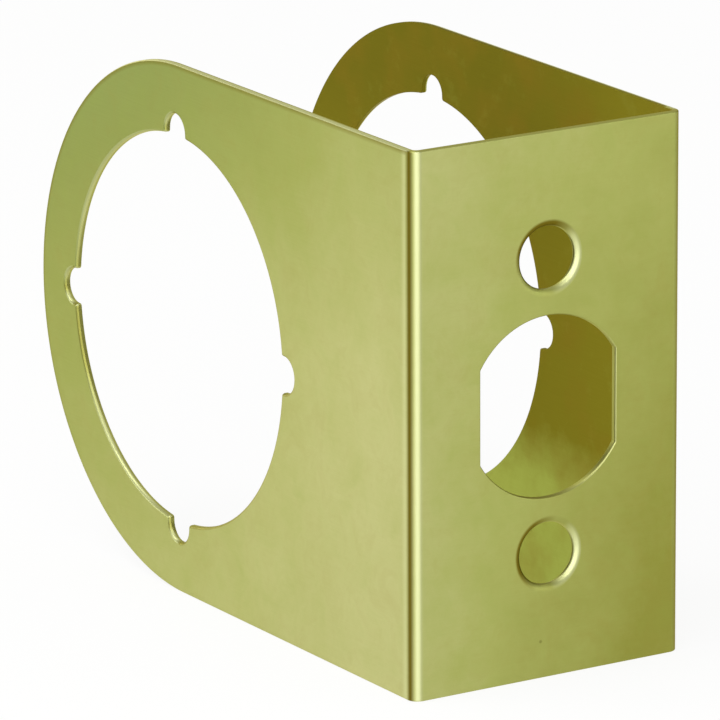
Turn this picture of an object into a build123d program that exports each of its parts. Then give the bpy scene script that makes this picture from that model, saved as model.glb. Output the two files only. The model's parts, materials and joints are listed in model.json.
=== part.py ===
"""Wrap-around reinforcer for the edge of a door: one folded brass sheet.

The edge plate covers the door's edge and faces -Y. It has the hole for the latch and two screw holes. The two legs lie
on the door's faces, run back along +Y and end half round, and the cross bore with its four notches goes through both.
The origin is on the axis of the cross bore, midway between the legs. +Z is up.
"""

import os
from math import hypot

from build123d import *

# Sheet, in millimetres
sheet = 0.9
bend_inside = 0.7
edge_break = 0.3  # bevel where the punch draws the outer face down along its cut edges
edge_land = 0.15  # least square-cut stretch of an edge, behind its bevel or rounding

# Door that the sheet wraps
door_thickness = 41.3
door_clearance = 0.1  # on each face of the door
backset = 60.3  # from the door's edge to the axis of the cross bore

# Cross bore through both legs, and the sheet left round it
bore_diameter = 55.8
rim_above = 10.2  # above and below the bore
rim_behind = 9.3  # between the bore and the round end of a leg
notch_width = 5.2
notch_corner_margin = 0.1  # a notch's corners are rounded by this much more than the edges' bevel
notch_side_margin = 0.05  # straight side of a notch, between its rounded corner and its half-round end

# Holes in the edge plate
latch_diameter = 25.4
latch_flat_depth = 1.85  # how far each flat side comes in from the full round
latch_corner = 0.4
screw_opening = 8.7
screw_bridge = 3.6  # sheet left between the latch hole and each screw hole

# What follows from these sizes
inner_width = door_thickness + 2 * door_clearance
outer_width = inner_width + 2 * sheet
bend_outside = bend_inside + sheet
bore_radius = bore_diameter / 2
plate_height = bore_diameter + 2 * rim_above
plate_inner_y = -backset
plate_outer_y = plate_inner_y - sheet
leg_end_y = bore_radius + rim_behind
end_radius = plate_height / 2
end_center_y = leg_end_y - end_radius
screw_pitch = latch_diameter + screw_opening + 2 * screw_bridge
screw_roll = sheet - edge_land  # the screw holes' rims are rolled in almost through the sheet
punched_break = min(edge_break, screw_roll)
notch_corner = punched_break + notch_corner_margin
notch_depth = notch_corner + notch_side_margin + notch_width / 2  # beyond the bore
match = 1e-4  # two lengths closer than this are the same


def folded_blank():
    """The sheet folded to a U, cut to the legs' side outline, with no holes yet."""
    whole = Pos(0, plate_outer_y) * Rectangle(
        outer_width, leg_end_y - plate_outer_y, align=(Align.CENTER, Align.MIN)
    )
    whole = fillet(whole.vertices().group_by(Axis.Y)[0], bend_outside)
    # The space for the door runs on past the open end of the legs.
    space = Pos(0, plate_inner_y) * Rectangle(
        inner_width, leg_end_y - plate_inner_y + sheet, align=(Align.CENTER, Align.MIN)
    )
    space = fillet(space.vertices().group_by(Axis.Y)[0], bend_inside)
    folded = extrude(whole - space, plate_height / 2, both=True)

    straight = Pos(plate_outer_y, 0) * Rectangle(
        end_center_y - plate_outer_y, plate_height, align=(Align.MIN, Align.CENTER)
    )
    round_end = Pos(end_center_y, 0) * Circle(end_radius)
    outline = Plane.YZ * (straight + round_end)
    return folded & extrude(outline, outer_width, both=True)


def cross_bore():
    """The bore through both legs, with a round-ended notch above, below, before and behind."""
    notch_reach = bore_diameter + 2 * notch_depth
    level_notches = SlotOverall(notch_reach, notch_width)
    upright_notches = SlotOverall(notch_reach, notch_width, rotation=90)
    profile = Circle(bore_radius) + level_notches + upright_notches
    corners = profile.vertices().filter_by(lambda v: abs(hypot(v.X, v.Y) - bore_radius) < match)
    profile = fillet(corners, notch_corner)
    return extrude(Plane.YZ * profile, outer_width, both=True)


def edge_holes():
    """The double-D latch hole and the two screw holes through the edge plate."""
    latch = Circle(latch_diameter / 2) & Rectangle(latch_diameter - 2 * latch_flat_depth, latch_diameter)
    latch = fillet(latch.vertices(), latch_corner)
    screws = GridLocations(0, screw_pitch, 1, 2) * Circle(screw_opening / 2)
    profile = Sketch() + [latch, *screws]
    return extrude(Plane.XZ.offset(backset) * profile, 2 * sheet, both=True)


def outer_skin(plate):
    """The faces of the sheet's outer side: the edge plate, the two folds and the two legs."""
    flats = plate.faces().filter_by(GeomType.PLANE)
    folds = plate.faces().filter_by(GeomType.CYLINDER).filter_by(
        lambda f: abs(f.radius - bend_outside) < match
    )
    return [flats.sort_by(Axis.X)[0], flats.sort_by(Axis.X)[-1], flats.sort_by(Axis.Y)[0], *folds]


def is_screw_rim(edge):
    """Whether an edge of the edge plate's face is the rim of a screw hole."""
    return edge.geom_type == GeomType.CIRCLE and abs(edge.radius - screw_opening / 2) < match


def break_edges(plate):
    """Bevels the cut edges of the outer side, and rounds the rims of the screw holes."""
    edges = ShapeList(e for face in outer_skin(plate) for e in face.edges())
    cut = edges.filter_by(lambda e: sum(e.is_same(other) for other in edges) == 1)
    plate = chamfer(cut.filter_by(lambda e: not is_screw_rim(e)), punched_break)
    face = plate.faces().filter_by(GeomType.PLANE).sort_by(Axis.Y)[0]
    return fillet(face.edges().filter_by(is_screw_rim), screw_roll)


reinforcer = break_edges(folded_blank() - cross_bore() - edge_holes())

os.makedirs("parts", exist_ok=True)
export_step(reinforcer, "parts/reinforcer_plate.step")
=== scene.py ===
"""Looks of the door reinforcer: one folded sheet of satin brass on a white studio floor.

The plate is worked out as a flat sheet first. A point of the sheet has a place along it, from the middle of the edge
plate round a fold and out along a leg, a height, and a depth below the outer face. Bending that flat sheet round the
two folds gives the plate. Lengths are in millimetres until a mesh is made.
"""

import json
import logging
from collections.abc import Callable
from dataclasses import dataclass, field, replace
from enum import Enum
from math import atan2, cos, pi, radians, sin, sqrt

import bpy
import numpy as np
from mathutils import Matrix, Vector

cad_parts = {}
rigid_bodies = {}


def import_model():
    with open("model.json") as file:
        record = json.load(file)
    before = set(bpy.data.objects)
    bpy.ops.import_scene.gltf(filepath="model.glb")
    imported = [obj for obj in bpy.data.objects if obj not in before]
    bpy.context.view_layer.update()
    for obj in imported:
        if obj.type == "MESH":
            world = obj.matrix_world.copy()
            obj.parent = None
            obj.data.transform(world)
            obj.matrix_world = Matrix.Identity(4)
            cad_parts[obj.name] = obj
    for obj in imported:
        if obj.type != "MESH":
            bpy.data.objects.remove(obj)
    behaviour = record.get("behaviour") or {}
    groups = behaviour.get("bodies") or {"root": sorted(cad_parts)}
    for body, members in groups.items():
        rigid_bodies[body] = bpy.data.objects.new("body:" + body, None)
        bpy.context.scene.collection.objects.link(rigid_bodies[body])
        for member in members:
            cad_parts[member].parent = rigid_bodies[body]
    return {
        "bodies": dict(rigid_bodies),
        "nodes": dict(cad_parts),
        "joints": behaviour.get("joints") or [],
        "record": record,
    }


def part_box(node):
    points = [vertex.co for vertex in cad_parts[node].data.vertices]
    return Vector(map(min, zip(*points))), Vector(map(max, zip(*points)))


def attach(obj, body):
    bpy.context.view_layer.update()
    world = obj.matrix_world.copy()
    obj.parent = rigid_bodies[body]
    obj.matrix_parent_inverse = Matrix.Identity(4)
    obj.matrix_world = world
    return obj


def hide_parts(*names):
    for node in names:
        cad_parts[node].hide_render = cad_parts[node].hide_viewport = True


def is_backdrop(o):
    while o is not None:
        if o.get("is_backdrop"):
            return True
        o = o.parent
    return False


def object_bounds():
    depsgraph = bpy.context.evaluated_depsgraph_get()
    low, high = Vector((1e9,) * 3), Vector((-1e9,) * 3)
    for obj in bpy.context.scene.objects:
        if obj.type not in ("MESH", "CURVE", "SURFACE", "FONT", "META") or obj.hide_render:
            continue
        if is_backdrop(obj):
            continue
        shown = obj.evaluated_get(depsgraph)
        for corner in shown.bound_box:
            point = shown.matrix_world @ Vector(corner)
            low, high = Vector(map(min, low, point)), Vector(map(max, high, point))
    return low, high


LOG = logging.getLogger("reinforcer")
MM = 0.001
NODE = "reinforcer_plate"
BODY = "root"
SHEET_MAP = "flat_sheet"  # the mesh's map of the flat sheet, which the brushing follows
NUDGE = 1e-3  # small inset, in millimetres, that shows which way the sheet lies from an edge
LEVEL = 1e-6  # a part of a direction smaller than this counts as none
WELDS_PER_MM = 1e4  # points closer than a ten-thousandth of a millimetre are one vertex

Amount = float | np.ndarray  # one number, or one for each column of a grid


def linear(hex_colour: str) -> tuple[float, float, float, float]:
    """Turns an sRGB hex colour into linear red, green, blue and a full alpha.

    Args:
        hex_colour: six hex digits with a leading #.

    Returns:
        The linear colour with alpha 1.
    """
    codes = np.array([int(hex_colour[i:i + 2], 16) for i in (1, 3, 5)]) / 255
    light = np.where(codes <= 0.04045, codes / 12.92, ((codes + 0.055) / 1.055) ** 2.4)
    return (*light.tolist(), 1.0)


def add_node(tree: bpy.types.NodeTree, kind: str, links: dict | None = None, **settings: object) -> bpy.types.Node:
    """Adds a node, sets its properties and its sockets, and links it.

    Args:
        tree: the node tree that gets the node.
        kind: the node's type name.
        links: socket name or number to an output socket, or to a plain value.
        settings: the node's own properties.

    Returns:
        The new node.
    """
    node = tree.nodes.new(kind)
    for name, value in settings.items():
        setattr(node, name, value)
    for name, value in (links or {}).items():
        if isinstance(value, bpy.types.NodeSocket):
            tree.links.new(value, node.inputs[name])
        else:
            node.inputs[name].default_value = value
    return node


class Side(Enum):
    """Which leg of the plate, as the sign of its place along the flat sheet."""

    LEFT = -1
    RIGHT = 1


class Surface(Enum):
    """What a stretch of the plate's skin is, kept as a number on each vertex for the finish."""

    OUTER = 0.0
    CUT = 0.5
    INNER = 1.0


class Marks(Enum):
    """Which edge of the sheet it is, and so where a highlight and a shade are painted on it."""

    OUTLINE = "outline"
    BORE = "bore"
    HOLE = "hole"


def ramp(values: np.ndarray, start: float, end: float) -> np.ndarray:
    """Straight rise from 0 at the start to 1 at the end, which may also lie below the start."""
    return np.clip((values - start) / (end - start), 0.0, 1.0)


@dataclass(frozen=True)
class Hump:
    """Half a cosine wave up to its top at the peak and another down again, 0 outside its rise and its fall."""

    peak: float
    rise: float
    fall: float
    top: float = 1.0

    def at(self, values: np.ndarray) -> np.ndarray:
        """Height of the hump at each value."""
        away = (values - self.peak) / np.where(values < self.peak, self.rise, self.fall)
        return self.top * (0.5 + 0.5 * np.cos(pi * np.clip(away, -1.0, 1.0)))


@dataclass(frozen=True)
class Rim:
    """How a cut edge is shaped, with its painted highlight and shade, in millimetres, with shares from 0 to 1."""

    marks: Marks
    roll: float  # how deep the outer face is rolled down
    reach: float  # how far from the edge the roll starts
    band: float = 0.0  # width of a strip of the flat face beside the roll that is drawn with it
    highlight_depth: float = 0.0  # depth down to which a highlight is painted on the edge
    highlight_share: float = 0.0  # how strong the painted highlight is there
    shade: float = 0.0  # how dark its painted shade is
    bare: float = 1.0  # depth below which the edge takes the door side's bare brown; where it is shallow, that brown is painted shade


@dataclass(frozen=True)
class Profile:
    """Section through a cut edge, from the outer face to the inner one."""

    inset: np.ndarray  # how far each of its points lies inside the edge
    depth: np.ndarray  # how far it lies below the outer face
    slope: np.ndarray  # how far its direction has turned from the outer face's, in radians


@dataclass(frozen=True)
class PaintedShading:
    """Painted light and shade on the outer face, from 0, most shaded, to 1, most lit.

    A leg is painted lightest by its fold and low down, and painted darker towards its end and its top. The edge plate
    is painted darker from left to right, and more so low down. Heights go from -1 at the bottom to 1 at the top.
    """

    leg: float = 0.96  # a leg by its fold, up to even_to
    even_to: float = 0.10  # a height
    leg_top: float = 0.38  # its fall from there on, for a height of 1
    leg_end: float = 0.59  # its further fall at a leg's end, halfway up
    leg_end_top: float = 0.24  # how much greater that is at the top, and smaller at the bottom
    fade_mm: tuple[float, float] = (12.0, 96.0)  # distances from the fold where that starts and ends
    plate: float = 0.69  # the edge plate at its left
    plate_right: float = 0.51  # its fall to the right, halfway up
    plate_high: float = 0.27  # how much smaller that is at the top, and greater at the bottom
    shade_tint_power: float = 1.6  # power of the painted shade with which a leg's painted shade turns cooler in tint


@dataclass
class Patch:
    """One surface on a grid of two parameters, rows by columns, with what its finish needs to know at each point."""

    points: np.ndarray
    normals: np.ndarray  # outward directions
    sheet: np.ndarray  # place along the flat sheet and height, a cut edge laid flat outside its outline
    skin: np.ndarray  # which skin of the sheet it is
    pale: np.ndarray  # how much painted highlight it has
    dull: np.ndarray  # how much brown painted shade it has


def close_loop(points: np.ndarray) -> np.ndarray:
    """Repeats the first point of each row at the row's end, so that its grid closes on itself."""
    return np.concatenate([points, points[:, :1]], axis=1)


def arc(center: tuple[float, float], radius: float, start: float, end: float, steps: int) -> np.ndarray:
    """Points on a circle, evenly spaced in angle, without the last one.

    Args:
        center: the circle's centre.
        radius: its radius.
        start: first angle, in radians.
        end: last angle, in radians.
        steps: number of points.

    Returns:
        The points, steps by 2.
    """
    angles = np.linspace(start, end, steps, endpoint=False)
    return np.stack([center[0] + radius * np.cos(angles), center[1] + radius * np.sin(angles)], axis=1)


def line(start: tuple[float, float], end: tuple[float, float], steps: int) -> np.ndarray:
    """Evenly spaced points on a straight line, without the last one.

    Args:
        start: first point.
        end: last point.
        steps: number of points.

    Returns:
        The points, steps by 2.
    """
    share = np.linspace(0.0, 1.0, steps, endpoint=False)[:, None]
    return np.array(start) * (1 - share) + np.array(end) * share


def turned(points: np.ndarray, angle: float) -> np.ndarray:
    """Points of a plane turned about its origin by an angle in radians."""
    return points @ np.array([[cos(angle), sin(angle)], [-sin(angle), cos(angle)]])


def edge_of(loop: Callable[[float], np.ndarray]) -> np.ndarray:
    """Path of an edge and its unit directions into the sheet, from the way it moves with a small inset.

    Args:
        loop: gives the edge for an inset into the sheet.

    Returns:
        The path and the directions, 2 by points by 2.
    """
    path = loop(0.0)
    return np.stack([path, (loop(NUDGE) - path) / NUDGE])


@dataclass
class ReinforcerPlate:
    """The folded brass sheet, with its sizes in millimetres.

    The fields up to latch_corner are the part's own sizes, and the rims are its edges, with their painted highlights
    and shade. The strips are the flat stretches beside a fold that are drawn with it. The humps say where a fold has a
    painted highlight and where painted shade, from 0, where the edge plate ends, to 1, where the leg starts. The steps
    say how finely each stretch is drawn.
    """

    outer_width: float
    height: float
    face_y: float
    leg_end_y: float
    bore_radius: float
    screw_pitch: float
    screw_radius: float
    sheet: float = 0.9
    bend_outside: float = 1.6
    inner_roll: float = 0.05
    notch_half: float = 2.6
    notch_depth: float = 3.05
    notch_corner: float = 0.4
    latch_radius: float = 12.7
    latch_flat: float = 10.85
    latch_corner: float = 0.4
    bore_rim: Rim = Rim(Marks.BORE, roll=0.5, reach=0.38, highlight_depth=0.5, highlight_share=0.7, shade=0.5)
    # The right leg's cut edges turn to the door side's brown from a shallow depth: painted shade on its edges.
    right_bore_rim: Rim = Rim(Marks.BORE, roll=0.3, reach=0.3, bare=0.3)
    outline_rim: Rim = Rim(Marks.OUTLINE, roll=0.3, reach=0.2, band=0.6, highlight_depth=0.65, highlight_share=1.0, shade=0.6)
    # Its outline too turns brown from a shallow depth: painted shade.
    right_outline_rim: Rim = replace(outline_rim, bare=0.5)
    latch_rim: Rim = Rim(Marks.HOLE, roll=0.3, reach=0.2, highlight_depth=0.3, highlight_share=0.4, shade=0.3)
    screw_rim: Rim = Rim(Marks.HOLE, roll=0.75, reach=1.05, highlight_depth=0.6, highlight_share=1.0, shade=1.0)
    plate_strip: float = 0.8
    leg_strip: float = 1.6
    # Painted highlights and a painted dark reflection across the left fold, painted shade across the right.
    fold_highlight: Hump = Hump(0.34, 0.38, 0.20)
    fold_shade: Hump = Hump(0.77, 0.30, 0.30)
    leg_highlight: Hump = Hump(1.16, 0.20, 0.42, top=0.5)
    right_fold_shade: Hump = Hump(0.5, 0.35, 0.5, top=0.9)
    # Painted light and shade over the outer face.
    lustre: PaintedShading = PaintedShading()
    strip_steps: int = 5
    bore_steps: int = 20
    corner_steps: int = 4
    notch_steps: int = 16
    width_steps: int = 40
    fold_steps: int = 24
    band_steps: int = 4
    roll_steps: int = 10
    wall_steps: int = 4
    inner_steps: int = 3
    ring_rows: int = 6
    patches: list[Patch] = field(default_factory=list)

    @classmethod
    def from_frame(cls, record: dict) -> "ReinforcerPlate":
        """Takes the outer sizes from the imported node's box, and the holes from the record's mounts.

        Args:
            record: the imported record.

        Returns:
            The plate, with nothing drawn yet.
        """
        low, high = (np.array(corner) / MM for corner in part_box(NODE))
        mounts = {mount["name"]: mount["dims"] for mount in record["mounts"]}
        return cls(
            outer_width=high[0] - low[0],
            height=high[2] - low[2],
            face_y=low[1],
            leg_end_y=high[1],
            bore_radius=mounts["cross_bore"]["r_mm"],
            screw_pitch=mounts["faceplate_screws"]["spacing_y_mm"],
            screw_radius=mounts["faceplate_screws"]["hole_r_mm"],
        )

    @property
    def flat_half(self) -> float:
        """Half the width of the flat part of the edge plate."""
        return self.outer_width / 2 - self.bend_outside

    @property
    def fold_length(self) -> float:
        """Length of a fold along the outer face: a quarter of a circle."""
        return self.bend_outside * pi / 2

    @property
    def bore_place(self) -> float:
        """Place of a leg's bore along the flat sheet."""
        return self.flat_half + self.fold_length - (self.face_y + self.bend_outside)

    @property
    def quarter_steps(self) -> int:
        """Number of steps in each quarter of the notched bore, and so along each side of a leg."""
        return 2 * (self.bore_steps + self.corner_steps + 1) + self.notch_steps

    @property
    def cell_steps(self) -> tuple[int, int, int]:
        """Steps along a fold in the lower, middle and upper cell of the edge plate.

        The middle cell holds the latch hole, and ends halfway between it and the rims of the screw holes.

        Returns:
            The three numbers of steps, which add up to those of a leg's side.
        """
        steps = self.quarter_steps
        bridge = (self.latch_radius + self.screw_pitch / 2 - self.screw_radius - self.screw_rim.reach) / 2
        upper = round(steps * (self.height / 2 - bridge) / self.height)
        return upper, steps - 2 * upper, upper

    def bend(self, sheet: np.ndarray, depth: np.ndarray) -> tuple[np.ndarray, np.ndarray, np.ndarray]:
        """Bends the flat sheet round the folds.

        Past the flat edge plate the place along the sheet turns into an angle, place over fold radius, up to a right
        angle, and what is left over runs straight out along the leg. A point's depth shortens the fold's radius.

        Args:
            sheet: place along the sheet and height, any shape by 2.
            depth: depth below the outer face, the same shape without the 2.

        Returns:
            The points, the outward directions of the outer face, and the directions along the sheet.
        """
        place, height = sheet[..., 0], sheet[..., 1]
        past = np.clip(np.abs(place) - self.flat_half, 0.0, None)
        angle = np.sign(place) * np.minimum(past / self.bend_outside, pi / 2)
        run = np.sign(place) * np.clip(past - self.fold_length, 0.0, None)
        zero = np.zeros_like(place)
        out = np.stack([np.sin(angle), -np.cos(angle), zero], axis=-1)
        along = np.stack([np.cos(angle), np.sin(angle), zero], axis=-1)
        radius = (self.bend_outside - depth)[..., None]
        flat = np.clip(place, -self.flat_half, self.flat_half)
        start = np.stack([flat, np.full_like(place, self.face_y + self.bend_outside), height], axis=-1)
        return start + out * radius + along * run[..., None], out, along

    def bore_loop(self, inset: float) -> np.ndarray:
        """Edge of the bore with its four notches, moved into the sheet by inset, about the bore's axis.

        Each quarter runs along the bore, round a corner whose centre stays put, straight up a notch, round its end
        and back by the mirror image of that way. The quarters are the same, each turned on by a right angle.

        Args:
            inset: how far the edge is moved into the sheet.

        Returns:
            The loop, from -45 degrees on, counter-clockwise.
        """
        radius, half, corner = self.bore_radius + inset, self.notch_half + inset, self.notch_corner - inset
        end = self.bore_radius + self.notch_depth - self.notch_half
        across = self.notch_half + self.notch_corner
        up = sqrt((self.bore_radius + self.notch_corner) ** 2 - across ** 2)
        turn = atan2(across, up)
        rise = np.concatenate([
            arc((0, 0), radius, -pi / 4, -turn, self.bore_steps),
            arc((up, -across), corner, pi - turn, pi / 2, self.corner_steps),
            line((up, -half), (end, -half), 1),
            arc((end, 0), half, -pi / 2, 0, self.notch_steps // 2),
        ])
        fall = np.concatenate([
            arc((end, 0), half, 0, pi / 2, self.notch_steps // 2),
            line((end, half), (up, half), 1),
            arc((up, across), corner, -pi / 2, turn - pi, self.corner_steps),
            arc((0, 0), radius, turn, pi / 4, self.bore_steps),
        ])
        quarter = np.concatenate([rise, fall])
        return np.concatenate([turned(quarter, k * pi / 2) for k in range(4)])

    def leg_loop(self, inset: float) -> np.ndarray:
        """Outline of a leg about the bore's axis, its cut edges moved in by inset.

        It runs round the half-round end, along the top to the fold, down the fold and back along the bottom, with as
        many steps for each of the four as a quarter of the bore has.

        Args:
            inset: how far the cut edges are moved in.

        Returns:
            The outline, from the lower middle of the round end, counter-clockwise.
        """
        steps, radius = self.quarter_steps, self.height / 2 - inset
        center = (self.leg_end_y - self.height / 2, 0.0)
        fold = self.face_y + self.bend_outside + self.leg_strip
        bend = steps // 2
        return np.concatenate([
            arc(center, radius, -pi / 4, pi / 4, steps),
            arc(center, radius, pi / 4, pi / 2, bend),
            line((center[0], radius), (fold, radius), steps - bend),
            line((fold, radius), (fold, -radius), steps),
            line((fold, -radius), (center[0], -radius), steps - bend),
            arc(center, radius, -pi / 2, -pi / 4, bend),
        ])

    def latch_loop(self, inset: float) -> np.ndarray:
        """Edge of the double-D latch hole, moved into the sheet by inset, in four stretches that face the cell's sides.

        A stretch that faces a fold is arc, rounded corner, flat, rounded corner and arc. The others are arcs.

        Args:
            inset: how far the edge is moved into the sheet.

        Returns:
            The loop, from the lower right on, counter-clockwise.
        """
        upright = self.cell_steps[1]
        radius, flat, corner = self.latch_radius + inset, self.latch_flat + inset, self.latch_corner + inset
        across = self.latch_flat - self.latch_corner
        up = sqrt((self.latch_radius - self.latch_corner) ** 2 - across ** 2)
        turn = atan2(up, across)
        past, past_steps = radians(9), 2  # how far a stretch that faces a fold runs on round the arc
        split = turn + past
        side = np.concatenate([
            arc((0, 0), radius, -split, -turn, past_steps),
            arc((across, -up), corner, -turn, 0, self.corner_steps),
            line((flat, -up), (flat, up), upright - 2 * (past_steps + self.corner_steps)),
            arc((across, up), corner, 0, turn, self.corner_steps),
            arc((0, 0), radius, turn, split, past_steps),
        ])
        top = arc((0, 0), radius, split, pi - split, self.width_steps)
        return np.concatenate([side, top, -side, -top])

    def screw_loop(self, inset: float) -> np.ndarray:
        """Edge of the upper screw hole, moved into the sheet by inset, in four stretches that face its cell's sides.

        Args:
            inset: how far the edge is moved into the sheet.

        Returns:
            The loop, from the lower right on, counter-clockwise.
        """
        upright = self.cell_steps[2]
        center, radius = (0.0, self.screw_pitch / 2), self.screw_radius + inset
        low, high = radians(-25), radians(42)  # ends of the right stretch, about where the cell's corners lie
        return np.concatenate([
            arc(center, radius, low, high, upright),
            arc(center, radius, high, pi - high, self.width_steps),
            arc(center, radius, pi - high, pi - low, upright),
            arc(center, radius, pi - low, 2 * pi + low, self.width_steps),
        ])

    def cell_loop(self, inset: float, cell: int) -> np.ndarray:
        """Border of a cell of the edge plate, the plate's cut edge moved in by inset.

        Args:
            inset: how far the cut edges are moved in.
            cell: 0 for the lower, 1 for the middle and 2 for the upper cell.

        Returns:
            The border, from the lower right on, counter-clockwise.
        """
        heights = np.linspace(-1.0, 1.0, self.quarter_steps + 1) * (self.height / 2 - inset)
        first = sum(self.cell_steps[:cell])
        low, high = heights[first], heights[first + self.cell_steps[cell]]
        half, upright, level = self.flat_half - self.plate_strip, self.cell_steps[cell], self.width_steps
        return np.concatenate([
            line((half, low), (half, high), upright),
            line((half, high), (-half, high), level),
            line((-half, high), (-half, low), upright),
            line((-half, low), (half, low), level),
        ])

    def add_skin(self, sheet: np.ndarray, inner: bool, pale: Amount = 0.0, dull: Amount = 0.0) -> None:
        """Adds a stretch of the outer or the inner skin.

        Args:
            sheet: grid of places on the flat sheet, rows by columns by 2.
            inner: whether it is the side that faces the door.
            pale: how much painted highlight it has.
            dull: how much painted shade it has.
        """
        shape = sheet.shape[:2]
        points, out, _ = self.bend(sheet, np.full(shape, self.sheet if inner else 0.0))
        skin = Surface.INNER if inner else Surface.OUTER
        marks = (np.broadcast_to(mark, shape) for mark in (skin.value, pale, dull))
        self.patches.append(Patch(points, -out if inner else out, sheet, *marks))

    def rim_profile(self, rim: Rim) -> Profile:
        """Section through a cut edge.

        It starts on the outer face, with the strip beside the roll if there is one, rolls down a quarter of an
        ellipse, runs straight through the sheet and turns a small corner onto the inner face.

        Args:
            rim: the edge's shape.

        Returns:
            The section.
        """
        turn = np.linspace(0.0, pi / 2, self.roll_steps + 1)
        small = np.linspace(pi / 2, pi, self.inner_steps + 1)
        wall = np.linspace(rim.roll, self.sheet - self.inner_roll, self.wall_steps + 1)[1:-1]
        upright = np.zeros_like(wall)
        strip = np.linspace(rim.reach + rim.band, rim.reach, self.band_steps if rim.band else 0, endpoint=False)
        flat = np.zeros_like(strip)
        rolled = np.arctan2(rim.roll * np.sin(turn), rim.reach * np.cos(turn))
        inner_depth = self.sheet - self.inner_roll * (1 + np.cos(small))
        return Profile(
            np.concatenate([strip, rim.reach * (1 - np.sin(turn)), upright, self.inner_roll * (1 - np.sin(small))]),
            np.concatenate([flat, rim.roll * (1 - np.cos(turn)), wall, inner_depth]),
            np.concatenate([flat, rolled, upright + pi / 2, small]),
        )

    def rim_marks(
        self, path: np.ndarray, into: np.ndarray, rim: Rim, profile: Profile,
    ) -> tuple[np.ndarray, np.ndarray]:
        """Where a highlight and a shade are painted on a cut edge.

        The outline, on the legs only, has a painted highlight line where it faces up, and painted shade on a strip of
        the face beside its roll. A cross bore has a painted highlight below and above on the side of the leg's end, and
        painted shade between them and towards the fold. A hole has a painted highlight on its right and on its left
        lip, and painted shade on its upper left.

        Args:
            path: the edge on the flat sheet, columns by 2.
            into: unit directions into the sheet, columns by 2.
            rim: the edge's shape and wear.
            profile: its section.

        Returns:
            How much painted highlight and how much painted shade each point has, from 0 to 1, both rows by columns.
        """
        # Slopes are in degrees. Up goes from -1, where the edge faces down, to 1, where it faces up.
        steep, up = np.degrees(profile.slope), -into[:, 1]
        # Painted highlight from the start of the roll down to its set depth, with soft ends.
        painted_highlight = (ramp(steep, 0, 20) * ramp(profile.depth, rim.highlight_depth + 0.05, rim.highlight_depth - 0.05))[:, None]
        if rim.marks is Marks.OUTLINE:
            on_leg = ramp(self.leg_share(path), 0.75, 1.0)
            strip = ramp(profile.inset, rim.reach + rim.band, rim.reach) * ramp(steep, 45, 25)
            return painted_highlight * ramp(up, 0.8, 0.95) * on_leg, strip[:, None] * ramp(up, -1.2, 0.8) * on_leg
        if rim.marks is Marks.BORE:
            to_end = np.sign(path[:, 0]) * into[:, 0]
            below, above = ramp(up, 0.4, 0.7), 0.6 * ramp(up, -0.1, -0.4)
            between = np.where(to_end < 0.05, 1.0, Hump(0.25, 0.35, 0.4).at(up))
            roll = ramp(steep, 0, 10) * ramp(steep, 80, 65)
            return painted_highlight * (below + above) * ramp(to_end, 0.0, 0.3), roll[:, None] * between
        around = np.arctan2(into[:, 1], into[:, 0])
        right, left = ramp(np.cos(around + radians(15)), 0.375, 1.0), ramp(np.cos(around), 0.4, -0.6)
        lip = 0.7 * ramp(steep, 55, 70)
        # The lower the hole, the further its painted shade turns from the top to the left: a degree for each
        # millimetre.
        shade_way = radians(140 - path[:, 1].mean())
        upper_left = np.clip(1.5 * np.cos(around - shade_way) - 0.1, 0.0, 1.0)
        roll = ramp(steep, 0, 14) * ramp(steep, 70, 55)
        return painted_highlight * right + lip[:, None] * left, roll[:, None] * upper_left

    def add_rim(
        self, path: np.ndarray, into: np.ndarray, rim: Rim, pale: Amount = 0.0, dull: Amount = 0.0,
    ) -> None:
        """Adds a cut edge: its profile carried along the edge's path on the flat sheet.

        A point of it is the path, moved into the sheet by the profile's inset and down by its depth. Its direction
        turns with the profile from the outer face's to the edge's own.

        Args:
            path: the edge on the flat sheet, columns by 2.
            into: unit directions into the sheet, columns by 2.
            rim: the edge's shape and wear.
            pale: how much painted highlight the face beside it has.
            dull: how much painted shade the face beside it has.
        """
        profile = self.rim_profile(rim)
        inset, depth, slope = profile.inset, profile.depth, profile.slope
        sheet = path + into * inset[:, None, None]
        points, out, along = self.bend(sheet, np.broadcast_to(depth[:, None], sheet.shape[:2]))
        up = np.array([0.0, 0.0, 1.0])
        edge = -(along * into[:, :1] + up * into[:, 1:])
        normals = out * np.cos(slope)[:, None, None] + edge * np.sin(slope)[:, None, None]
        run = np.concatenate([[0.0], np.cumsum(np.hypot(np.diff(inset), np.diff(depth)))])
        laid = path + into * (inset[0] - run)[:, None, None]
        bared = (Surface.INNER.value - Surface.CUT.value) * ramp(depth, rim.bare, rim.bare + 0.1)
        skin = Surface.CUT.value * np.sin(np.minimum(slope, pi / 2)) + bared
        # Painted highlight and painted shade along the edge.
        painted_highlight, painted_dark = self.rim_marks(path, into, rim, profile)
        face = ramp(np.degrees(slope), 75, 45)[:, None]
        self.patches.append(Patch(
            points, normals, laid,
            np.broadcast_to(skin[:, None], sheet.shape[:2]),
            np.maximum(face * pale, rim.highlight_share * painted_highlight),
            np.maximum(face * dull, rim.shade * painted_dark),
        ))

    def ring(self, edge: np.ndarray, border: np.ndarray) -> np.ndarray:
        """Grid between a hole's edge and the border round it: straight lines from each to each, evenly divided."""
        share = np.linspace(0.0, 1.0, self.ring_rows + 1)[:, None, None]
        return close_loop(edge[None] * (1 - share) + border[None] * share)

    def inset_of(self, inner: bool, rim: Rim) -> float:
        """How far a skin's edge lies inside the cut edge: the roll and its strip outside, the small corner inside."""
        return self.inner_roll if inner else rim.reach + rim.band

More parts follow.
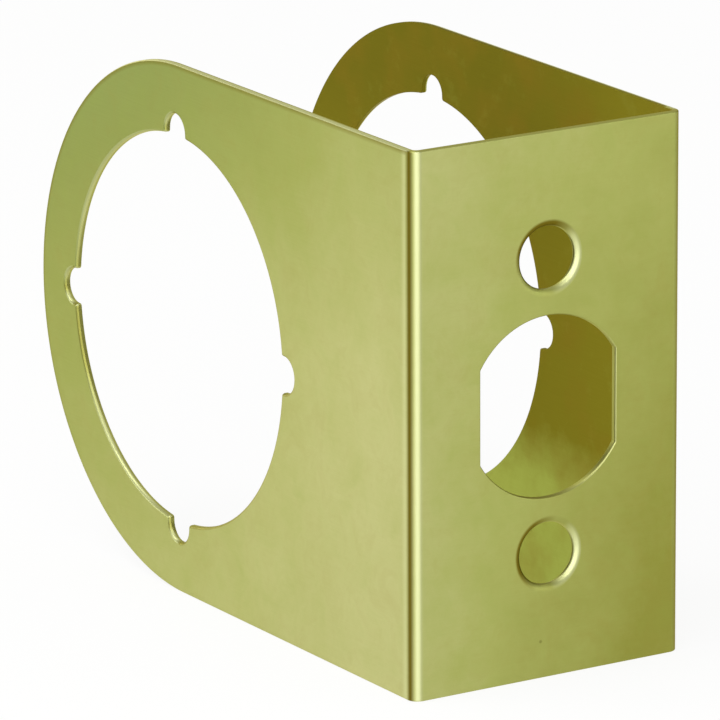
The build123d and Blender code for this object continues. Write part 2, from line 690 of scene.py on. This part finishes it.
    def build_leg(self, side: Side) -> None:
        """Adds one leg: both skins round the notched bore, the bore's edge and the leg's outline.

        Args:
            side: which leg.
        """
        place = np.array([side.value, 1.0])
        shift = np.array([self.bore_place, 0.0])
        bore_rim, outline_rim = (
            (self.bore_rim, self.outline_rim) if side is Side.LEFT else (self.right_bore_rim, self.right_outline_rim)
        )
        for inner in (False, True):
            bore = self.bore_loop(self.inset_of(inner, bore_rim))
            outline = self.leg_loop(self.inset_of(inner, outline_rim))
            self.add_skin((self.ring(bore, outline) + shift) * place, inner)
        path, into = close_loop(edge_of(self.bore_loop))
        self.add_rim((path + shift) * place, into * place, bore_rim)
        # The cut part of the outline runs from the fold along the bottom, round the end and back along the top.
        steps, outline = self.quarter_steps, edge_of(self.leg_loop)
        path, into = np.concatenate([outline[:, 3 * steps:], outline[:, :2 * steps + 1]], axis=1)
        into[:, 0] *= np.abs(into[:, 0]) > LEVEL
        self.add_rim((path + shift) * place, into * place, outline_rim)

    def fold_marks(self, places: np.ndarray, side: Side) -> tuple[np.ndarray, np.ndarray]:
        """Painted highlight and painted shade on the outer face across a fold.

        The left fold has a painted highlight near its plate and on a narrow line of its leg, and a painted dark
        reflection between them. The right fold has a little painted shade.

        Args:
            places: places along the flat sheet.
            side: which fold.

        Returns:
            The painted highlight and the painted shade at each place.
        """
        turn = (np.abs(places) - self.flat_half) / self.fold_length
        if side is Side.RIGHT:
            return np.zeros_like(turn), self.right_fold_shade.at(turn)
        return self.fold_highlight.at(turn) + self.leg_highlight.at(turn), self.fold_shade.at(turn)

    def build_fold(self, side: Side) -> None:
        """Adds one fold with the strips beside it: both skins, and the cut edges at its top and bottom.

        Args:
            side: which fold.
        """
        end = self.flat_half + self.fold_length
        places = side.value * np.concatenate([
            np.linspace(self.flat_half - self.plate_strip, self.flat_half, self.strip_steps, endpoint=False),
            np.linspace(self.flat_half, end, self.fold_steps, endpoint=False),
            np.linspace(end, end + self.leg_strip, self.strip_steps + 1),
        ])
        # Painted highlight and painted shade across the fold.
        pale, dull = self.fold_marks(places, side)
        share = np.linspace(-1.0, 1.0, self.quarter_steps + 1)
        for inner in (False, True):
            heights = share * (self.height / 2 - self.inset_of(inner, self.outline_rim))
            self.add_skin(np.stack(np.meshgrid(places, heights), axis=-1), inner, pale, dull)
        self.add_level_rims(places, pale, dull)

    def add_level_rims(self, places: np.ndarray, pale: Amount = 0.0, dull: Amount = 0.0) -> None:
        """Adds the plate's top and bottom cut edges.

        Args:
            places: places along the flat sheet that the edges run over.
            pale: how much painted highlight the face beside them has.
            dull: how much painted shade the face beside them has.
        """
        for end in (-1.0, 1.0):
            path = np.stack([places, np.full_like(places, end * self.height / 2)], axis=1)
            self.add_rim(path, np.tile([0.0, -end], (len(places), 1)), self.outline_rim, pale, dull)

    def build_edge_plate(self) -> None:
        """Adds the edge plate: three cells round the screw holes and the latch hole, and all their edges."""
        mirrored = np.array([1.0, -1.0])
        for inner in (False, True):
            border = self.inset_of(inner, self.outline_rim)
            latch = self.latch_loop(self.inset_of(inner, self.latch_rim))
            screw = self.screw_loop(self.inset_of(inner, self.screw_rim))
            upper = self.ring(screw, self.cell_loop(border, 2))
            self.add_skin(self.ring(latch, self.cell_loop(border, 1)), inner)
            self.add_skin(upper, inner)
            self.add_skin(upper * mirrored, inner)
        latch, screw = (close_loop(edge_of(loop)) for loop in (self.latch_loop, self.screw_loop))
        self.add_rim(*latch, self.latch_rim)
        self.add_rim(*screw, self.screw_rim)
        self.add_rim(*(screw * mirrored), self.screw_rim)
        half = self.flat_half - self.plate_strip
        self.add_level_rims(np.linspace(-half, half, self.width_steps + 1))

    def leg_share(self, sheet: np.ndarray) -> np.ndarray:
        """0 on the edge plate, 1 on a leg, rising evenly round the fold between them."""
        return ramp(np.abs(sheet[..., 0]), self.flat_half, self.flat_half + self.fold_length)

    def painted_shading_at(self, sheet: np.ndarray) -> np.ndarray:
        """Painted light and shade of the face: a leg's and the edge plate's, mixed round the fold between them.

        Args:
            sheet: place along the flat sheet and height, any shape by 2.

        Returns:
            The painted light and shade, the same shape without the 2.
        """
        place, height, look = sheet[..., 0], sheet[..., 1] / (self.height / 2), self.lustre
        run = np.abs(place) - self.flat_half - self.fold_length
        fade = (look.leg_end + look.leg_end_top * height) * ramp(run, *look.fade_mm)
        leg = look.leg - look.leg_top * ramp(height, look.even_to, look.even_to + 1) - fade
        across = ramp(place, -self.flat_half, self.flat_half)
        plate = look.plate - (look.plate_right - look.plate_high * height) * across
        share = self.leg_share(sheet)
        return np.clip(plate * (1 - share) + leg * share, 0.0, 1.0)

    def mesh(self) -> bpy.types.Mesh:
        """Joins the patches to one closed mesh.

        Each grid gives a quad per cell, wound so that it faces the way its own normals point. Points that lie together
        are one vertex. The worked-out normals are kept on the quads' corners.

        Returns:
            The mesh, in metres, with its flat-sheet map, the marks of its finish and its painted light and shade.
        """
        stores = []
        for patch in self.patches:
            quads = [np.stack([
                grid[:-1, :-1], grid[:-1, 1:], grid[1:, 1:], grid[1:, :-1]
            ], axis=2).reshape(-1, 4, *grid.shape[2:]) for grid in vars(patch).values()]
            place, out = quads[0], quads[1]
            facing = np.cross(place[:, 2] - place[:, 0], place[:, 3] - place[:, 1])
            if np.einsum("ij,ij->", facing, out.mean(axis=1)) < 0:
                quads = [part[:, ::-1] for part in quads]
            stores.append(quads)
        corners, normals, maps, skin, pale, dull = (np.concatenate(part) for part in zip(*stores))
        keys = np.round(corners.reshape(-1, 3) * WELDS_PER_MM).astype(np.int64)
        _, first, index = np.unique(keys, axis=0, return_index=True, return_inverse=True)
        faces = index.reshape(-1, 4)
        mesh = bpy.data.meshes.new("folded_sheet")
        mesh.from_pydata(corners.reshape(-1, 3)[first] * MM, [], faces)
        mesh.polygons.foreach_set("use_smooth", np.ones(len(faces), dtype=bool))
        # The map's first axis is the height, so that its tangent lies across the grain.
        layer = mesh.uv_layers.new(name=SHEET_MAP)
        layer.uv.foreach_set("vector", (maps[..., ::-1].reshape(-1) * MM).astype(np.float32))
        # Painted light and shade over the outer face, and a cooler tint where a leg's painted shade is deep.
        lustre = self.painted_shading_at(maps)
        cool = self.leg_share(maps) * (1 - lustre) ** self.lustre.shade_tint_power
        # The skin, the painted light and shade, its cooler tint, the painted highlights and the painted shade go onto
        # the corners.
        for name, values in (("skin", skin), ("lustre", lustre), ("cool", cool), ("pale", pale), ("dull", dull)):
            attribute = mesh.attributes.new(name, "FLOAT", "CORNER")
            attribute.data.foreach_set("value", values.reshape(-1).astype(np.float32))
        mesh.normals_split_custom_set(normals.reshape(-1, 3))
        mesh.update()
        return mesh

    def build(self) -> bpy.types.Object:
        """Builds the whole plate and sets it on its CAD body in place of the plain solid.

        Returns:
            The plate's object.
        """
        self.build_edge_plate()
        for side in Side:
            self.build_fold(side)
            self.build_leg(side)
        plate = bpy.data.objects.new("folded_brass_sheet", self.mesh())
        bpy.context.scene.collection.objects.link(plate)
        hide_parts(NODE)
        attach(plate, BODY)
        return plate


@dataclass(frozen=True)
class SatinBrass:
    """Rolled brass sheet, brushed along its length to a satin face and lacquered.

    It gives the eye a soft greenish yellow with no clear mirror image and faint hairlines along the sheet. Its colour
    carries painted light and shade over the outer face, painted highlights where the rolled edges and the fold would
    catch the light, and painted shade beside them. The door side is bare rolled brass, duller and browner, with painted
    shade and painted light on it too. Real brush lines are about 0.03 mm apart and would not show, so they are drawn
    coarser.
    """

    most_shaded: str = "#929240"  # the most shaded end of the painted light and shade
    middle: str = "#aaaf61"
    pale: str = "#c4c587"  # the most lit end of the painted light and shade
    cool: str = "#8e9d5a"  # cooler tint of the legs' painted shade, where their painted light falls off
    green: str = "#96a84c"  # patches of tarnish, greener and browner
    tarnish: str = "#9a8a3c"
    speck: str = "#5f5a22"
    cut: str = "#b0b05e"
    # colour of the painted highlights on the edges and the left fold
    painted_highlight: str = "#d8dca4"
    # colour of the painted shade on the edges and the folds
    dull: str = "#746719"
    bare: str = "#787018"  # the door side: its own raw brass, darkened by painted shade; then painted shade near its top, painted light near its folds and near its bottom, and its brown patches
    bare_painted_shade_top: str = "#6a6314"
    bare_painted_light_fold: str = "#827a1d"
    bare_painted_light_low: str = "#a2ac4e"
    brown: str = "#86681c"
    grazing: str = "#fff6c8"
    roughness: float = 0.42
    rough_spread: float = 0.04
    across_grain: float = 0.8
    grain_mm: float = 0.12
    grain_length_mm: float = 9.0
    grain_depth_mm: float = 0.02
    grain_strength: float = 0.05
    mottle_mm: float = 12.0
    mottle_drift: float = 0.1  # random change of the painted light and shade, either way
    tarnish_mm: float = 6.0
    tarnish_share: float = 0.17
    speck_mm: float = 0.3
    speck_spacing_mm: float = 11.0
    speck_share: float = 0.45
    clean_share: float = 0.6  # share of the places for a speck that have none
    # size of the cloudy noise that breaks up the edge of the painted light near the door side's bottom
    light_edge_noise_mm: float = 4.0
    brown_mm: float = 9.0
    brown_share: float = 0.35
    low_mm: tuple[float, float] = (-11.0, -24.0)  # where each painted light and shade of the door side starts and ends
    high_mm: tuple[float, float] = (5.0, 30.0)
    fold_mm: tuple[float, float] = (-10.0, -55.0)

    def outer_colour(self, tree: bpy.types.NodeTree, place: bpy.types.NodeSocket, marks: dict) -> bpy.types.NodeSocket:
        """Colour of the outer face and the cut edges.

        The tone follows the painted light and shade of the face and drifts in clouds about it, with greener and browner
        patches of tarnish and a few specks of dirt. Over it come the cut edges, the painted highlights along them and
        along the fold, and the painted shade.

        Args:
            tree: the material's node tree.
            place: the object coordinates.
            marks: the mesh's marks by name.

        Returns:
            The colour's socket.
        """
        mottle, cloud = (add_node(tree, "ShaderNodeTexNoise", {
            "Vector": place, "Scale": 1 / (size * MM), "Detail": 5.0, "Roughness": 0.7, "Distortion": bent,
        }).outputs["Fac"] for size, bent in ((self.mottle_mm, 0.0), (self.tarnish_mm, 0.6)))
        drift = add_node(tree, "ShaderNodeMapRange", {
            "Value": mottle, "From Min": 0.3, "From Max": 0.7,
            "To Min": -self.mottle_drift, "To Max": self.mottle_drift,
        }).outputs["Result"]
        greened, tarnished = (add_node(tree, "ShaderNodeMapRange", {
            "Value": cloud, "From Min": 0.5, "From Max": end, "To Max": self.tarnish_share,
        }).outputs["Result"] for end in (0.25, 0.75))
        cells = add_node(tree, "ShaderNodeTexVoronoi", {
            "Vector": place, "Scale": 1 / (self.speck_spacing_mm * MM),
        }).outputs
        size = self.speck_mm / self.speck_spacing_mm
        near = add_node(tree, "ShaderNodeMapRange", {
            "Value": cells["Distance"], "From Min": size / 2, "From Max": size,
            "To Min": self.speck_share, "To Max": 0.0,
        }).outputs["Result"]
        chance = add_node(tree, "ShaderNodeSeparateColor", {"Color": cells["Color"]}).outputs["Red"]
        few = add_node(tree, "ShaderNodeMath", {0: chance, 1: self.clean_share}, operation="GREATER_THAN").outputs[0]
        specks = add_node(tree, "ShaderNodeMath", {0: near, 1: few}, operation="MULTIPLY").outputs[0]

        # The painted light and shade, with a random drift, picks the tone from the ramp.
        drifted = add_node(tree, "ShaderNodeMath", {0: marks["lustre"], 1: drift}, operation="ADD").outputs[0]
        tone = add_node(tree, "ShaderNodeValToRGB", {"Fac": drifted})
        first, last = tone.color_ramp.elements
        first.color, last.color = linear(self.most_shaded), linear(self.pale)
        tone.color_ramp.elements.new(0.5).color = linear(self.middle)
        edges = add_node(tree, "ShaderNodeMapRange", {
            "Value": marks["skin"], "From Min": 0.3, "From Max": Surface.CUT.value,
        }).outputs["Result"]
        colour = tone.outputs["Color"]
        # A cooler tint where the legs' painted shade is deep, tarnish, dirt and the cut edges, then painted highlights
        # and painted shade.
        for share, tint in (
            (marks["cool"], self.cool), (greened, self.green), (tarnished, self.tarnish), (specks, self.speck),
            (edges, self.cut), (marks["pale"], self.painted_highlight), (marks["dull"], self.dull),
        ):
            colour = add_node(
                tree, "ShaderNodeMix", {0: share, 6: colour, 7: linear(tint)}, data_type="RGBA"
            ).outputs[2]
        return colour

    def door_colour(self, tree: bpy.types.NodeTree, place: bpy.types.NodeSocket) -> bpy.types.NodeSocket:
        """Colour of the bare door side.

        It is brown, its own raw brass darkened by painted shade, with more painted shade near its top, painted light
        near the folds, and a lighter, greener painted light near its bottom, whose edge is broken up by small cloudy
        noise. Browner patches lie over all of it.

        Args:
            tree: the material's node tree.
            place: the object coordinates.

        Returns:
            The colour's socket.
        """
        axes = add_node(tree, "ShaderNodeSeparateXYZ", {0: place}).outputs
        # Shares of painted shade near the top, painted light near the folds and painted light near the bottom.
        high, fold, low = (add_node(tree, "ShaderNodeMapRange", {
            "Value": axes[axis], "From Min": start * MM, "From Max": end * MM,
        }, interpolation_type="SMOOTHSTEP").outputs["Result"] for axis, (start, end) in (
            ("Z", self.high_mm), ("Y", self.fold_mm), ("Z", self.low_mm),
        ))
        light_edge_noise, patch = (add_node(tree, "ShaderNodeTexNoise", {
            "Vector": place, "Scale": 1 / (size * MM), "Detail": detail, "Roughness": rough,
        }).outputs["Fac"] for size, detail, rough in ((self.light_edge_noise_mm, 5.0, 0.7), (self.brown_mm, 3.0, 0.5)))
        # Cloudy noise breaks up the edge of the painted light near the bottom.
        spots = add_node(tree, "ShaderNodeMapRange", {
            "Value": light_edge_noise, "From Min": 0.3, "From Max": 0.7, "To Min": -0.2, "To Max": 0.1,
        }).outputs["Result"]
        cloudy = add_node(tree, "ShaderNodeMath", {0: low, 1: spots}, operation="ADD", use_clamp=True).outputs[0]
        browned = add_node(tree, "ShaderNodeMapRange", {
            "Value": patch, "From Min": 0.45, "From Max": 0.7, "To Max": self.brown_share,
        }).outputs["Result"]
        colour = linear(self.bare)
        for share, tint in (
            (high, self.bare_painted_shade_top), (fold, self.bare_painted_light_fold), (cloudy, self.bare_painted_light_low), (browned, self.brown),
        ):
            colour = add_node(
                tree, "ShaderNodeMix", {0: share, 6: colour, 7: linear(tint)}, data_type="RGBA"
            ).outputs[2]
        return colour

    def material(self) -> bpy.types.Material:
        """Makes the finish as a node tree on the plate's flat-sheet map and marks.

        Returns:
            The material.
        """
        material = bpy.data.materials.new("satin_brushed_brass")
        material.use_nodes = True
        tree = material.node_tree
        tree.nodes.clear()
        place = add_node(tree, "ShaderNodeTexCoord").outputs["Object"]
        # The mesh's marks: its skin, painted light and shade, cooler painted-shade tint, painted highlights and painted
        # shade.
        marks = {
            name: add_node(tree, "ShaderNodeAttribute", attribute_name=name).outputs["Fac"]
            for name in ("skin", "lustre", "cool", "pale", "dull")
        }
        inside = add_node(tree, "ShaderNodeMapRange", {
            "Value": marks["skin"], "From Min": Surface.CUT.value, "From Max": Surface.CUT.value + 0.1,
        }).outputs["Result"]
        colour = add_node(tree, "ShaderNodeMix", {
            0: inside, 6: self.outer_colour(tree, place, marks), 7: self.door_colour(tree, place),
        }, data_type="RGBA").outputs[2]

        # Brushing: hairlines much longer along the sheet than across it.
        stretched = add_node(tree, "ShaderNodeMapping", {
            "Vector": add_node(tree, "ShaderNodeUVMap", uv_map=SHEET_MAP).outputs["UV"],
            "Scale": (1 / (self.grain_mm * MM), 1 / (self.grain_length_mm * MM), 1.0),
        })
        grain = add_node(tree, "ShaderNodeTexNoise", {
            "Vector": stretched.outputs[0], "Scale": 1.0, "Detail": 4.0, "Roughness": 0.65,
        }, noise_dimensions="2D").outputs["Fac"]
        rough = add_node(tree, "ShaderNodeMapRange", {
            "Value": grain, "From Min": 0.3, "From Max": 0.7,
            "To Min": self.roughness - self.rough_spread, "To Max": self.roughness + self.rough_spread,
        }).outputs["Result"]
        bump = add_node(tree, "ShaderNodeBump", {
            "Height": grain, "Strength": self.grain_strength, "Distance": self.grain_depth_mm * MM,
        })
        tangent = add_node(tree, "ShaderNodeTangent", direction_type="UV_MAP", uv_map=SHEET_MAP)
        shader = add_node(tree, "ShaderNodeBsdfPrincipled", {
            "Base Color": colour,
            "Metallic": 1.0,
            "Roughness": rough,
            "Anisotropic": self.across_grain,
            "Specular Tint": linear(self.grazing),
            "Normal": bump.outputs["Normal"],
            "Tangent": tangent.outputs["Tangent"],
        })
        add_node(tree, "ShaderNodeOutputMaterial", {"Surface": shader.outputs["BSDF"]})
        return material


def direction(azimuth: float, elevation: float) -> Vector:
    """Unit vector towards a place in the studio.

    Args:
        azimuth: degrees from -Y towards +X.
        elevation: degrees above level.

    Returns:
        The vector.
    """
    a, e = radians(azimuth), radians(elevation)
    return Vector((sin(a) * cos(e), -cos(a) * cos(e), sin(e)))


@dataclass(frozen=True)
class Softbox:
    """A rectangular area lamp that faces the plate."""

    name: str
    azimuth: float  # direction from the plate, in degrees from -Y towards +X
    elevation: float  # in degrees above level
    size: tuple[float, float]  # width and height in metres
    level: float  # brightness of its face, where 1 is white
    distance: float = 1.2  # from the plate, in metres

    def build(self) -> None:
        """Adds the lamp. Its power is its brightness times pi times its area."""
        lamp = bpy.data.lights.new(self.name, "AREA")
        lamp.shape = "RECTANGLE"
        lamp.size, lamp.size_y = self.size
        lamp.energy = self.level * pi * self.size[0] * self.size[1]
        light = bpy.data.objects.new(self.name, lamp)
        bpy.context.scene.collection.objects.link(light)
        back = direction(self.azimuth, self.elevation)
        light.location = back * self.distance
        light.rotation_euler = back.to_track_quat("Z", "Y").to_euler()


@dataclass
class Studio:
    """White floor, soft lights and the camera, in the plate's frame.

    The camera's place and lens were solved from the photograph's edges. Floor sizes are in metres.
    """

    floor_z: float
    floor_half: float = 4.0
    paper: str = "#f4f4f2"
    white: str = "#ffffff"
    white_share: float = 0.88  # how much of the floor is even white to the camera
    world_level: float = 0.6
    azimuth: float = -32.157
    elevation: float = 15.446
    roll: float = 0.257
    distance_mm: float = 1055.889
    lens: float = 392.655
    sensor: float = 36.0
    aim_mm: tuple[float, float, float] = (-20.541, -46.273, 6.169)
    softboxes: tuple[Softbox, ...] = (
        Softbox("key_softbox", -33.0, 22.0, (1.4, 0.6), 3.4),
        Softbox("fill_softbox", 38.0, 18.0, (0.7, 0.6), 1.27),
        Softbox("back_softbox", -150.0, 13.0, (1.5, 0.4), 1.53),
        Softbox("top_softbox", -100.0, 62.0, (0.6, 0.6), 3.5),
    )

    def floor(self) -> None:
        """Adds the floor: a white diffuse plane that camera and metal see as white, with the plate's shadow on it.

        Camera, glossy and transmission rays see mostly an even white. The rest is lit paper, which keeps the shadow.
        """
        half, z = self.floor_half, self.floor_z
        mesh = bpy.data.meshes.new("studio_floor")
        mesh.from_pydata([(-half, -half, z), (half, -half, z), (half, half, z), (-half, half, z)], [], [(0, 1, 2, 3)])
        floor = bpy.data.objects.new("studio_floor", mesh)
        bpy.context.scene.collection.objects.link(floor)
        material = bpy.data.materials.new("white_paper_floor")
        material.use_nodes = True
        tree = material.node_tree
        tree.nodes.clear()
        rays = add_node(tree, "ShaderNodeLightPath").outputs
        seen = rays["Is Camera Ray"]
        for kind in ("Is Glossy Ray", "Is Transmission Ray"):
            seen = add_node(tree, "ShaderNodeMath", {0: seen, 1: rays[kind]}, operation="MAXIMUM").outputs[0]
        share = add_node(tree, "ShaderNodeMath", {0: seen, 1: self.white_share}, operation="MULTIPLY")
        paper = add_node(tree, "ShaderNodeBsdfDiffuse", {"Color": linear(self.paper)})
        white = add_node(tree, "ShaderNodeEmission", {"Color": linear(self.white), "Strength": 1.0})
        mixed = add_node(tree, "ShaderNodeMixShader", {
            0: share.outputs[0], 1: paper.outputs[0], 2: white.outputs[0],
        })
        add_node(tree, "ShaderNodeOutputMaterial", {"Surface": mixed.outputs[0]})
        mesh.materials.append(material)
        floor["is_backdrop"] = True

    def world(self) -> None:
        """Sets an even pale world."""
        world = bpy.data.worlds.new("studio_world")
        world.use_nodes = True
        tree = world.node_tree
        tree.nodes.clear()
        back = add_node(tree, "ShaderNodeBackground", {"Color": linear(self.white), "Strength": self.world_level})
        add_node(tree, "ShaderNodeOutputWorld", {"Surface": back.outputs[0]})
        bpy.context.scene.world = world

    def camera(self) -> None:
        """Adds the camera at the photograph's viewing angle.

        Its axes are level to the right, up, and back along the viewing direction, turned by the roll about the last.
        """
        back = direction(self.azimuth, self.elevation)
        right = direction(self.azimuth + 90.0, 0.0)
        up = back.cross(right)
        frame = Matrix((right, up, back)).transposed() @ Matrix.Rotation(radians(-self.roll), 3, "Z")
        data = bpy.data.cameras.new("photo_camera")
        data.sensor_width = self.sensor
        data.lens = self.lens
        data.clip_start, data.clip_end = 0.01, 50.0
        camera = bpy.data.objects.new("photo_camera", data)
        bpy.context.scene.collection.objects.link(camera)
        place = Vector(self.aim_mm) * MM + back * self.distance_mm * MM
        camera.matrix_world = Matrix.Translation(place) @ frame.to_4x4()
        bpy.context.scene.camera = camera

    def build(self) -> None:
        """Sets up floor, world, lamps and camera."""
        self.floor()
        self.world()
        for softbox in self.softboxes:
            softbox.build()
        self.camera()


def main() -> None:
    """Builds the plate, dresses it and sets the studio, with its floor under the CAD box."""
    logging.basicConfig(level=logging.INFO, format="%(message)s")
    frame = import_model()
    cad_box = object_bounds()
    plate = ReinforcerPlate.from_frame(frame["record"]).build()
    plate.data.materials.append(SatinBrass().material())
    LOG.info("%s: %d faces", plate.name, len(plate.data.polygons))
    studio = Studio(floor_z=float(cad_box[0][2]))
    studio.build()
    bpy.context.scene.view_settings.view_transform = "Standard"


if __name__ == "__main__":
    main()
